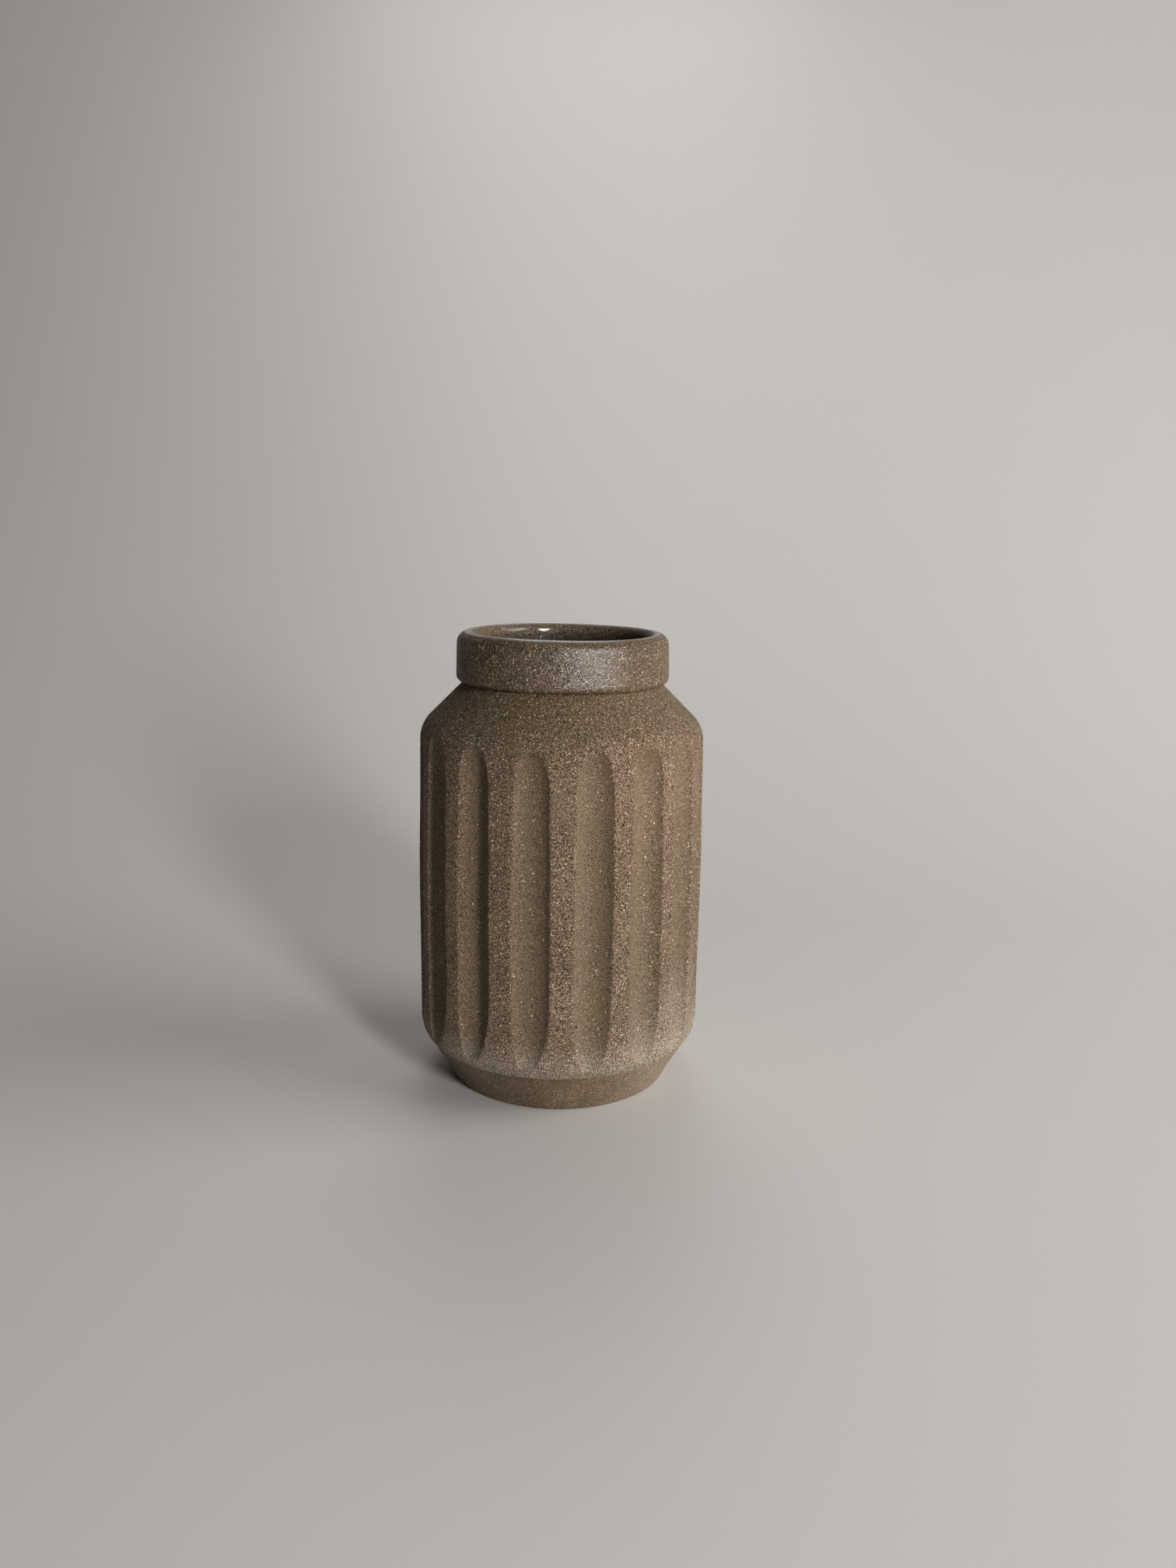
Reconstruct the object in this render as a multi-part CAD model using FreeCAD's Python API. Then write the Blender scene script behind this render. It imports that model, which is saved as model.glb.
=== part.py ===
"""Stoneware vase: a fluted cylinder with a sloping shoulder and a thick rounded collar.

The clay is four thrown sections luted together with rebated joints: a base, a
fluted wall, a shoulder with its neck, and a collar.  Two glaze coats lie on the
clay: a lining poured inside, and a coat over the collar and lip.

Millimetres, +Z up, origin at the centre of the face that the vase stands on.
Outlines are half sections in (radius, height), turned about the Z axis.
"""
import FreeCAD
import Part
import math
import os

# Overall form
FOOT_R = 35.4            # standing edge
FOOT_EDGE_RADIUS = 1.0   # softened standing edge
RIDGE_R = 43.9           # ridge where the turned foot meets the wall
RIDGE_Z = 14.3
WALL_LOW_R = 46.0        # wall just above its turned-in bottom edge
WALL_BELLY_R = 46.15     # widest point, low on a very slight barrel
WALL_BELLY_Z = 60.0
WALL_TOP_R = 45.4
TURN_IN_RADIUS = 7.5     # bottom edge of the wall, down to the ridge
TURN_IN_CORNER_Z = 16.5
WALL_BARREL_RADIUS = 4500.0
SHOULDER_TURN_RADIUS = 9.0
NECK_CREASE_R = 31.3     # top of the shoulder's 45 degree cone, under the collar
NECK_CREASE_Z = 131.0

# Inside
FLOOR_Z = 8.0
FLOOR_CORNER_RADIUS = 8.0
BODY_BORE_R = 38.5
SHOULDER_THICKNESS = 6.0
INNER_TURN_RADIUS = 5.0
THROAT_EDGE_RADIUS = 4.0
THROAT_R = 28.0

# Collar and lip, bare clay
COLLAR_LOW_R = 33.65
COLLAR_TOP_R = 33.25
COLLAR_UNDERSIDE_RISE = 0.25
COLLAR_CORNER_RADIUS = 1.6
LIP_Z = 146.15
LIP_OUTER_RADIUS = 3.25
LIP_INNER_RADIUS = 2.0

# Rebated joints between the clay sections
BASE_LAP_R = 41.2
BASE_LAP_TOP_Z = 17.3
SHOULDER_LAP_R = 39.2
SHOULDER_LAP_BOTTOM_Z = 117.0
SHOULDER_SEAM_Z = 119.6
NECK_SPIGOT_R = 30.6
NECK_SPIGOT_TOP_Z = 136.5

# Glaze
GLAZE = 0.35
GLAZE_MEETING_Z = 142.0  # the lining ends and the rim coat begins
RIM_COAT_START_R = 31.9  # the rim coat begins on the collar's underside

# Flutes, cut with a round tool that enters and leaves along an arc
FLUTE_COUNT = 16
FLUTE_PITCH = 360.0 / FLUTE_COUNT
FIRST_FLUTE_ANGLE = 11.25    # degrees from -Y towards +X
FLUTE_TOOL_RADIUS = 7.5
FLUTE_DEPTH = 3.2
FLUTE_BOTTOM_Z = 16.0
FLUTE_TOP_Z = 118.7          # of the tool's path: the flute itself fades out 2.5 lower, where the wall turns in
FLUTE_BOTTOM_RUN_OUT = 23.0  # height over which the tool leaves the wall
FLUTE_TOP_RUN_OUT = 15.0
FLUTE_OVERRUN = 8.0          # the tool's path past each end, clear of the wall
FLUTE_SWERVE = 16.0          # degrees by which the tool leaves to the left at the foot
FLUTE_SHIFT = 0.2            # degrees by which all are turned from even places
FLUTE_SPACING_DRIFT = 1.5    # degrees of uneven spacing round the wall
FLUTE_SPACING_PHASE = -20.0  # degrees
FLUTE_DEPTH_DRIFT = 0.12     # uneven depth

AXIS = FreeCAD.Vector(0, 0, 1)
ORIGIN = FreeCAD.Vector(0, 0, 0)
TINY = 1e-6


def section_point(radius, height):
    """A point of the half section, in the XZ plane."""
    return FreeCAD.Vector(radius, 0, height)


def corner_arc(before, corner, after, radius):
    """Start, middle and end of the arc that rounds a corner between two straight lines."""
    towards_before = (before - corner).normalize()
    towards_after = (after - corner).normalize()
    half_angle = towards_before.getAngle(towards_after) / 2
    reach = radius / math.tan(half_angle)
    bisector = (towards_before + towards_after).normalize()
    centre = corner + bisector * (radius / math.sin(half_angle))
    return corner + towards_before * reach, centre - bisector * radius, corner + towards_after * reach


def turned(outline):
    """Turn a closed outline about Z.  Its corners are (radius, height) or (radius, height, rounding)."""
    corners = [section_point(*corner[:2]) for corner in outline]
    edges = []
    pen = None
    first = None
    for i, corner in enumerate(outline):
        stretch = [corners[i]]
        if len(corner) == 3:
            stretch = corner_arc(corners[i - 1], corners[i], corners[(i + 1) % len(corners)], corner[2])
        if pen is not None and pen.distanceToPoint(stretch[0]) > TINY:
            edges.append(Part.LineSegment(pen, stretch[0]).toShape())
        if len(stretch) == 3:
            edges.append(Part.Arc(*stretch).toShape())
        pen = stretch[-1]
        first = first or stretch[0]
    if pen.distanceToPoint(first) > TINY:
        edges.append(Part.LineSegment(pen, first).toShape())
    face = Part.Face(Part.Wire(Part.__sortEdges__(edges)))
    return face.revolve(ORIGIN, AXIS, 360)


def outer_cone_r(height):
    """Radius of the shoulder's 45 degree outer cone."""
    return NECK_CREASE_R + NECK_CREASE_Z - height


def inner_cone_r(height, coat=0.0):
    """Radius of the shoulder's inner cone, or of a coat of glaze on it."""
    return outer_cone_r(height) - (SHOULDER_THICKNESS + coat) * math.sqrt(2)


def inner_cone_z(radius, coat=0.0):
    """Height at which the inner cone, or a coat on it, has this radius."""
    return inner_cone_r(0.0, coat) - radius


def make_base():
    """Floor and turned foot, with an upstand that the wall laps over."""
    return turned([
        (0, 0),
        (FOOT_R, 0, FOOT_EDGE_RADIUS),
        (RIDGE_R, RIDGE_Z),
        (BASE_LAP_R, RIDGE_Z),
        (BASE_LAP_R, BASE_LAP_TOP_Z),
        (BODY_BORE_R, BASE_LAP_TOP_Z),
        (BODY_BORE_R, FLOOR_Z, FLOOR_CORNER_RADIUS),
        (0, FLOOR_Z),
    ])


def make_plain_wall():
    """The wall as thrown, before it is fluted."""
    return turned([
        (BASE_LAP_R, RIDGE_Z),
        (RIDGE_R, RIDGE_Z),
        (WALL_LOW_R, TURN_IN_CORNER_Z, TURN_IN_RADIUS),
        (WALL_BELLY_R, WALL_BELLY_Z, WALL_BARREL_RADIUS),
        (WALL_TOP_R, NECK_CREASE_Z + NECK_CREASE_R - WALL_TOP_R, SHOULDER_TURN_RADIUS),
        (outer_cone_r(SHOULDER_SEAM_Z), SHOULDER_SEAM_Z),
        (SHOULDER_LAP_R, SHOULDER_SEAM_Z),
        (SHOULDER_LAP_R, SHOULDER_LAP_BOTTOM_Z),
        (inner_cone_r(SHOULDER_LAP_BOTTOM_Z), SHOULDER_LAP_BOTTOM_Z),
        (BODY_BORE_R, inner_cone_z(BODY_BORE_R), INNER_TURN_RADIUS),
        (BODY_BORE_R, BASE_LAP_TOP_Z),
        (BASE_LAP_R, BASE_LAP_TOP_Z),
    ])


def flute_cutter(depth):
    """The solid that the fluting tool sweeps, for a flute at -Y.

    It curves out of the wall at both ends, and to the left at the foot.
    """
    tool_r = WALL_LOW_R - depth + FLUTE_TOOL_RADIUS
    low_z = FLUTE_BOTTOM_Z + FLUTE_BOTTOM_RUN_OUT
    high_z = FLUTE_TOP_Z - FLUTE_TOP_RUN_OUT

    def leaving(from_z, way, run_out, swerve, share):
        """Where the tool is at this share of its way out from the straight run."""
        lift = depth / math.cos(swerve)
        arc_radius = (run_out ** 2 + lift ** 2) / (2 * lift)
        past = share * (run_out + FLUTE_OVERRUN)
        shift = arc_radius - math.sqrt(arc_radius ** 2 - past ** 2)
        return FreeCAD.Vector(-shift * math.sin(swerve), -tool_r - shift * math.cos(swerve), from_z + way * past)

    low = [leaving(low_z, -1, FLUTE_BOTTOM_RUN_OUT, math.radians(FLUTE_SWERVE), share) for share in (1, 0.5, 0)]
    high = [leaving(high_z, 1, FLUTE_TOP_RUN_OUT, 0.0, share) for share in (0, 0.5, 1)]
    path = Part.Wire([
        Part.Arc(*low).toShape(),
        Part.LineSegment(low[2], high[0]).toShape(),
        Part.Arc(*high).toShape(),
    ])
    first_edge = path.Edges[0]
    heading = first_edge.tangentAt(first_edge.FirstParameter)
    tool = Part.Wire(Part.makeCircle(FLUTE_TOOL_RADIUS, low[0], heading))
    return path.makePipeShell([tool], True, False)


def make_fluted_wall():
    """The wall with its flutes, hand spaced: pitch and depth wander slowly round the pot."""
    cutters = []
    for i in range(FLUTE_COUNT):
        turn = 2 * math.pi * i / FLUTE_COUNT
        depth = FLUTE_DEPTH + FLUTE_DEPTH_DRIFT * math.sin(3 * turn)
        drift = FLUTE_SPACING_DRIFT * math.cos(3 * turn + math.radians(FLUTE_SPACING_PHASE))
        cutter = flute_cutter(depth)
        cutter.rotate(ORIGIN, AXIS, FIRST_FLUTE_ANGLE + FLUTE_SHIFT + FLUTE_PITCH * i + drift)
        cutters.append(cutter)
    return make_plain_wall().cut(cutters)


def make_shoulder():
    """The sloping shoulder, lapped into the wall, with the neck that carries the collar."""
    return turned([
        (SHOULDER_LAP_R, SHOULDER_LAP_BOTTOM_Z),
        (SHOULDER_LAP_R, SHOULDER_SEAM_Z),
        (outer_cone_r(SHOULDER_SEAM_Z), SHOULDER_SEAM_Z),
        (NECK_CREASE_R, NECK_CREASE_Z),
        (NECK_SPIGOT_R, NECK_CREASE_Z),
        (NECK_SPIGOT_R, NECK_SPIGOT_TOP_Z),
        (THROAT_R, NECK_SPIGOT_TOP_Z),
        (THROAT_R, inner_cone_z(THROAT_R), THROAT_EDGE_RADIUS),
        (inner_cone_r(SHOULDER_LAP_BOTTOM_Z), SHOULDER_LAP_BOTTOM_Z),
    ])


def collar_face(coat=0.0):
    """Corners of the collar's outer face and lip, from its underside up, or of a coat of glaze on them."""
    return [
        (COLLAR_LOW_R + coat, NECK_CREASE_Z + COLLAR_UNDERSIDE_RISE - coat, COLLAR_CORNER_RADIUS + coat),
        (COLLAR_TOP_R + coat, LIP_Z + coat, LIP_OUTER_RADIUS + coat),
        (THROAT_R - coat, LIP_Z + coat, LIP_INNER_RADIUS + coat),
    ]


def make_collar():
    """Thick collar with a rounded lip, bored to sit over the neck."""
    return turned([
        (NECK_SPIGOT_R, NECK_CREASE_Z),
        (NECK_CREASE_R, NECK_CREASE_Z),
        (RIM_COAT_START_R, NECK_CREASE_Z + COLLAR_UNDERSIDE_RISE),
        *collar_face(),
        (THROAT_R, NECK_SPIGOT_TOP_Z),
        (NECK_SPIGOT_R, NECK_SPIGOT_TOP_Z),
    ])


def make_rim_glaze():
    """Glaze coat over the collar's face and the lip, down to the lining."""
    return turned([
        (RIM_COAT_START_R, NECK_CREASE_Z + COLLAR_UNDERSIDE_RISE),
        (RIM_COAT_START_R, NECK_CREASE_Z + COLLAR_UNDERSIDE_RISE - GLAZE),
        *collar_face(GLAZE),
        (THROAT_R - GLAZE, GLAZE_MEETING_Z),
        (THROAT_R, GLAZE_MEETING_Z),
        *reversed(collar_face()),
    ])


def interior(coat=0.0):
    """Corners of the inside from the floor's centre up to the throat, or of a coat of glaze on it."""
    bore = BODY_BORE_R - coat
    throat = THROAT_R - coat
    return [
        (0, FLOOR_Z + coat),
        (bore, FLOOR_Z + coat, FLOOR_CORNER_RADIUS - coat),
        (bore, inner_cone_z(bore, coat), INNER_TURN_RADIUS - coat),
        (throat, inner_cone_z(throat, coat), THROAT_EDGE_RADIUS + coat),
        (throat, GLAZE_MEETING_Z),
    ]


def make_lining_glaze():
    """Glaze poured inside, from the floor up to the rim's coat."""
    return turned([*interior(), *reversed(interior(GLAZE))])


NODES = {
    "base": make_base,
    "fluted_wall": make_fluted_wall,
    "shoulder": make_shoulder,
    "collar": make_collar,
    "rim_glaze": make_rim_glaze,
    "lining_glaze": make_lining_glaze,
}


def main():
    os.makedirs("parts", exist_ok=True)
    for name, make in NODES.items():
        shape = make()
        shape.exportStep(f"parts/{name}.step")
        box = shape.BoundBox
        print(f"{name}: solids {len(shape.Solids)}, valid {shape.isValid()}, {shape.Volume / 1000:.1f} cm3, "
              f"radius {box.XMax:.2f}, z {box.ZMin:.2f} to {box.ZMax:.2f}")


main()
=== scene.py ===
"""Looks of the fluted stoneware vase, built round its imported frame.

Every clay section and glaze coat is turned from a half section, as on the wheel.
The wall is then fluted by hand, and the whole pot shares one slight unevenness,
so that sections which touch in the frame still touch here.  Metres, +Z up.
"""
from __future__ import annotations

import logging
import math
from dataclasses import dataclass, field

import bmesh
import bpy
from mathutils import Matrix, Vector, noise


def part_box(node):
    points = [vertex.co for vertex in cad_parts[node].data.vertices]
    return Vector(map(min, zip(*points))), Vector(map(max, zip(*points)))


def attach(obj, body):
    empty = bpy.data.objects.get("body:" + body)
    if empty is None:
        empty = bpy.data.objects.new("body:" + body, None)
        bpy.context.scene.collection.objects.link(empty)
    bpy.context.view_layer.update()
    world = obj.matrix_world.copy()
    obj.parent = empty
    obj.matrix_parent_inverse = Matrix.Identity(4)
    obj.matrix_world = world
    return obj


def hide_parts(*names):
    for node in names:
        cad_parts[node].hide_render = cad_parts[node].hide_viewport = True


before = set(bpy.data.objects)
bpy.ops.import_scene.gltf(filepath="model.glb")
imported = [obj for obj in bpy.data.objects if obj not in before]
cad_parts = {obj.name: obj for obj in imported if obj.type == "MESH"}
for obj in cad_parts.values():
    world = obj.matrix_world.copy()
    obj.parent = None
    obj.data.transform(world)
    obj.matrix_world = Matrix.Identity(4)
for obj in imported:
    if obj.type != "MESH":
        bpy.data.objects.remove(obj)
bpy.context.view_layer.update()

log = logging.getLogger("vase")

Colour = tuple[float, float, float]
Socket = bpy.types.NodeSocket

MM = 0.001
ROOT = "root"
COLUMNS_PER_FLUTE = 36
MERGE = 1e-7


def smoothstep(low: float, high: float, value: float) -> float:
    """Ease from 0 at low to 1 at high.

    Args:
        low: Value at which the result leaves 0.
        high: Value at which the result reaches 1.
        value: Where to read it.

    Returns:
        The eased share, from 0 to 1.
    """
    share = min(1.0, max(0.0, (value - low) / (high - low)))
    return share * share * (3 - 2 * share)


def bearing(point: Vector) -> float:
    """Degrees round the vase from the front (-Y) towards +X."""
    return math.degrees(math.atan2(point.x, -point.y))


def around(radius: float, angle: float, height: float) -> Vector:
    """The point at this radius, bearing in degrees, and height."""
    turn = math.radians(angle)
    return Vector((radius * math.sin(turn), -radius * math.cos(turn), height))


def placed(name: str, data: bpy.types.ID) -> bpy.types.Object:
    """Put new data in the scene as an object of this name, and return the object."""
    made = bpy.data.objects.new(name, data)
    bpy.context.scene.collection.objects.link(made)
    return made


# ---- the wheel


@dataclass(frozen=True)
class Corner:
    """A corner of a half section.

    Attributes:
        radius: Distance from the axis.
        height: Height above the standing face.
        rounding: Radius of the arc that rounds the corner, 0 for a sharp one.
        segments: Rows of faces along that arc.
        rows: Greatest height of a row on the straight stretch after the corner.
    """

    radius: float
    height: float
    rounding: float = 0.0
    segments: int = 6
    rows: float = 4 * MM

    @property
    def place(self) -> Vector:
        """The corner in the XZ plane."""
        return Vector((self.radius, 0, self.height))


@dataclass(frozen=True)
class PottersHand:
    """The slight unevenness of a pot thrown and finished by hand, the same for every section."""

    oval: float = 0.16 * MM
    wobble: float = 0.13 * MM
    wobble_size: float = 26 * MM
    ripple: float = 0.008 * MM
    ripple_pitch: float = 3.1 * MM
    rim_sway: float = 0.22 * MM
    sway_from: float = 112 * MM
    sway_full: float = 140 * MM
    settle: float = 6 * MM

    def touched(self, point: Vector) -> Vector:
        """Where a point of a true turned pot lies on this one.

        Args:
            point: Place on the true pot.

        Returns:
            The place on the hand-made pot.  The standing face stays flat.
        """
        radius = math.hypot(point.x, point.y)
        if radius < MERGE:
            return point.copy()
        turn = math.radians(bearing(point))
        above_foot = smoothstep(0.0, self.settle, point.z)
        off_axis = smoothstep(0.0, 20 * MM, radius)
        drift = noise.noise(point / self.wobble_size) * self.wobble
        line = math.sin(2 * math.pi * point.z / self.ripple_pitch + 0.6 * math.sin(turn)) * self.ripple
        push = (self.oval * math.cos(2 * turn + 0.7) + drift + line) * above_foot * off_axis
        sway = smoothstep(self.sway_from, self.sway_full, point.z)
        lift = self.rim_sway * (math.cos(turn + 0.5) + 0.4 * math.cos(3 * turn + 1.0)) * sway
        return Vector((point.x * (1 + push / radius), point.y * (1 + push / radius), point.z + lift))


HAND = PottersHand()


@dataclass(frozen=True)
class Wheel:
    """Turns half sections into solids of revolution.

    Attributes:
        columns: Faces round the axis.
        doublings: Times that the first stretch, spun from the half section, is copied on.
    """

    columns: int = 16 * COLUMNS_PER_FLUTE
    doublings: int = 5

    def draw(self, bm: bmesh.types.BMesh, corners: list[Corner]) -> None:
        """Draw a half section as wire: round its corners, then divide its straight stretches.

        Args:
            bm: Empty mesh that takes the section.
            corners: Corners in order.  A section that meets the axis is left open there.
        """
        points = [bm.verts.new(c.place) for c in corners]
        closed = corners[0].radius > 0
        count = len(corners)
        spans = count if closed else count - 1
        straights = [bm.edges.new((points[i], points[(i + 1) % count])) for i in range(spans)]
        rows = dict(zip(straights, (c.rows for c in corners)))
        for edge, height in rows.items():
            edge[self.row_layer(bm)] = height
        for i, corner in enumerate(corners):
            if corner.rounding <= 0:
                continue
            back = (corners[i - 1].place - corner.place).normalized()
            ahead = (corners[(i + 1) % count].place - corner.place).normalized()
            reach = corner.rounding / math.tan(back.angle(ahead) / 2)
            bmesh.ops.bevel(bm, geom=[points[i]], offset=reach, offset_type="OFFSET",
                            segments=corner.segments, profile=0.5, affect="VERTICES", material=-1)
        layer = self.row_layer(bm)
        for edge in [e for e in bm.edges if e[layer] > 0]:
            cuts = math.ceil(edge.calc_length() / edge[layer] - 0.01) - 1
            if cuts > 0:
                bmesh.ops.subdivide_edges(bm, edges=[edge], cuts=cuts)

    @staticmethod
    def row_layer(bm: bmesh.types.BMesh) -> bmesh.types.BMLayerItem:
        """The edge layer that holds the row height wanted on each straight stretch."""
        return bm.edges.layers.float.get("rows") or bm.edges.layers.float.new("rows")

    def turn(self, corners: list[Corner]) -> bmesh.types.BMesh:
        """Spin a half section once round the axis.

        Args:
            corners: Corners of the half section.

        Returns:
            A closed mesh with its faces outwards.
        """
        bm = bmesh.new()
        self.row_layer(bm)
        self.draw(bm, corners)
        turned = 2 * math.pi / 2 ** self.doublings
        bmesh.ops.spin(bm, geom=bm.verts[:] + bm.edges[:], cent=(0, 0, 0), axis=(0, 0, 1),
                       dvec=(0, 0, 0), angle=turned, steps=self.columns // 2 ** self.doublings)
        for _ in range(self.doublings):
            copy = bmesh.ops.duplicate(bm, geom=bm.verts[:] + bm.edges[:] + bm.faces[:])["geom"]
            bmesh.ops.rotate(bm, cent=(0, 0, 0), matrix=Matrix.Rotation(turned, 3, "Z"),
                             verts=[v for v in copy if isinstance(v, bmesh.types.BMVert)])
            turned *= 2
        bmesh.ops.remove_doubles(bm, verts=bm.verts[:], dist=MERGE)
        bmesh.ops.recalc_face_normals(bm, faces=bm.faces[:])
        return bm


# ---- sizes from the frame


@dataclass(frozen=True)
class Levels:
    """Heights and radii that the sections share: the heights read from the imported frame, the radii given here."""

    ridge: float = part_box("fluted_wall")[0].z
    upstand_top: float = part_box("base")[1].z
    wall_top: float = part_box("fluted_wall")[1].z
    shoulder_lap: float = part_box("shoulder")[0].z
    seat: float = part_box("collar")[0].z
    neck_top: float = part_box("shoulder")[1].z
    clay_lip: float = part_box("collar")[1].z
    floor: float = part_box("lining_glaze")[0].z
    coats_meet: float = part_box("lining_glaze")[1].z
    coat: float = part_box("rim_glaze")[1].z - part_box("collar")[1].z

    ridge_radius: float = 43.9 * MM
    upstand_radius: float = 41.2 * MM
    bore: float = 38.5 * MM
    shoulder_lap_radius: float = 39.2 * MM
    crease_radius: float = 31.3 * MM
    neck_radius: float = 30.6 * MM
    throat: float = 28.0 * MM
    shoulder_thickness: float = 6.0 * MM

    def cone(self, height: float) -> float:
        """Radius of the shoulder's outer cone, which falls at 45 degrees from the crease."""
        return self.crease_radius + self.seat - height

    def inner_cone_height(self, radius: float, coat: float = 0.0) -> float:
        """Height at which the inside of the shoulder, or a coat on it, has this radius."""
        return self.cone(0.0) - (self.shoulder_thickness + coat) * math.sqrt(2) - radius


LEVELS = Levels()


# ---- the flutes


@dataclass(frozen=True)
class Flutes:
    """Sixteen flutes carved with one round tool, each a little different from the next."""

    count: int = 16
    first: float = 11.25
    shift: float = 0.2
    spacing_drift: float = 1.5
    spacing_phase: float = math.radians(-20)
    tool: float = 7.5 * MM
    wall: float = 46.0 * MM
    depth: float = 3.2 * MM
    depth_drift: float = 0.12 * MM
    bottom: float = 16.0 * MM
    top: float = 118.7 * MM
    end_drift: float = 0.5 * MM
    bottom_run_out: float = 23.0 * MM
    top_run_out: float = 15.0 * MM
    swerve: float = math.radians(16)
    edge_wander: float = 0.22 * MM
    edge_wander_size: float = 13 * MM
    chatter: float = 0.05 * MM
    chatter_width: float = 2.6 * MM
    chatter_height: float = 17 * MM
    land_share: float = 1 / 6
    narrowest: float = 0.5
    relax: float = 4.5 * MM

    @property
    def pitch(self) -> float:
        """Degrees from one flute to the next."""
        return 360 / self.count

    def centre(self, index: int) -> float:
        """Bearing of a flute's middle, in degrees."""
        turn = 2 * math.pi * index / self.count
        drift = self.spacing_drift * math.cos(3 * turn + self.spacing_phase)
        return self.first + self.shift + self.pitch * index + drift

    def progress(self, index: int, height: float) -> float:
        """How deep the tool is at this height: 1 at full depth, 0 at each end, negative beyond."""
        turn = 2 * math.pi * index / self.count
        top = self.top + self.end_drift * math.sin(5 * turn + 0.4)
        bottom = self.bottom + self.end_drift * math.cos(3 * turn + 1.1)
        past_low = max(0.0, 1 - (height - bottom) / self.bottom_run_out)
        past_high = max(0.0, 1 - (top - height) / self.top_run_out)
        return 1 - max(past_low, past_high) ** 2

    def tool_centre(self, index: int, height: float) -> float:
        """Distance of the tool's middle from the axis of the pot."""
        turn = 2 * math.pi * index / self.count
        full = self.depth + self.depth_drift * math.sin(3 * turn)
        return self.wall - full * self.progress(index, height) + self.tool

    def half_width(self, index: int, height: float, radius: float) -> float:
        """Half the flute's width in degrees, on a wall of this radius."""
        reach = self.tool_centre(index, height)
        cosine = (radius ** 2 + reach ** 2 - self.tool ** 2) / (2 * reach * radius)
        return math.degrees(math.acos(min(1.0, max(-1.0, cosine))))

    def edges(self, index: int, height: float, half: float) -> tuple[float, float]:
        """Bearings of a flute's left and right edges.

        Args:
            index: Which flute.
            height: Height on the wall.
            half: Half the flute's width there, in degrees.

        Returns:
            Left and right bearing.  The tool leaves to the left at the foot.
        """
        leaving = (1 - self.progress(index, height)) if height < self.bottom + self.bottom_run_out else 0.0
        lean = self.depth * leaving * math.tan(self.swerve)
        middle = self.centre(index) - math.degrees(lean / self.wall)
        wander = math.degrees(self.edge_wander / self.wall)
        along = height / self.edge_wander_size
        left = noise.noise(Vector((along, 3.7 * index, 0.5))) * wander
        right = noise.noise(Vector((along, 3.7 * index, 9.5))) * wander
        return middle - half + left, middle + half + right

    def column(self, bearing_now: float, height: float, radius: float) -> tuple[float, float, int]:
        """Slide a column of the mesh so that two columns follow each flute's edges.

        Args:
            bearing_now: The evenly spaced bearing that spinning gave.
            height: Height on the wall.
            radius: Radius of the wall there.

        Returns:
            The new bearing, the offset from the flute's middle in the tool's own degrees, and the flute.
        """
        place = (bearing_now - self.first) / self.pitch
        index = round(place)
        share = place - index
        half = self.half_width(index, height, radius)
        full = self.half_width(index, (self.top + self.bottom) / 2, self.wall)
        beyond = max(0.0, self.bottom - height, height - self.top) / self.relax
        width = max(half, full * (self.narrowest + (1 - self.narrowest) * min(1.0, beyond)))
        left, right = self.edges(index, height, width)
        carved = 0.5 - self.land_share
        before = (self.centre(index - 1) + self.centre(index)) / 2
        after = (self.centre(index) + self.centre(index + 1)) / 2
        if share < -carved:
            new = before + (left - before) * (share + 0.5) / self.land_share
        elif share > carved:
            new = right + (after - right) * (share - carved) / self.land_share
        else:
            new = left + (right - left) * (share + carved) / (2 * carved)
        return new, (new - (left + right) / 2) / ((right - left) / 2) * width, index

    def carved_radius(self, offset: float, index: int, height: float) -> float:
        """Radius that the tool leaves at this offset from the flute's middle, in degrees."""
        reach = self.tool_centre(index, height)
        aside = reach * math.sin(math.radians(offset))
        if abs(aside) >= self.tool:
            return math.inf
        lane = Vector((aside / self.chatter_width, height / self.chatter_height, 5.3 * index))
        mark = noise.noise(lane) * self.chatter
        return reach * math.cos(math.radians(offset)) - math.sqrt(self.tool ** 2 - aside ** 2) + mark


# ---- shader groups


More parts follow.
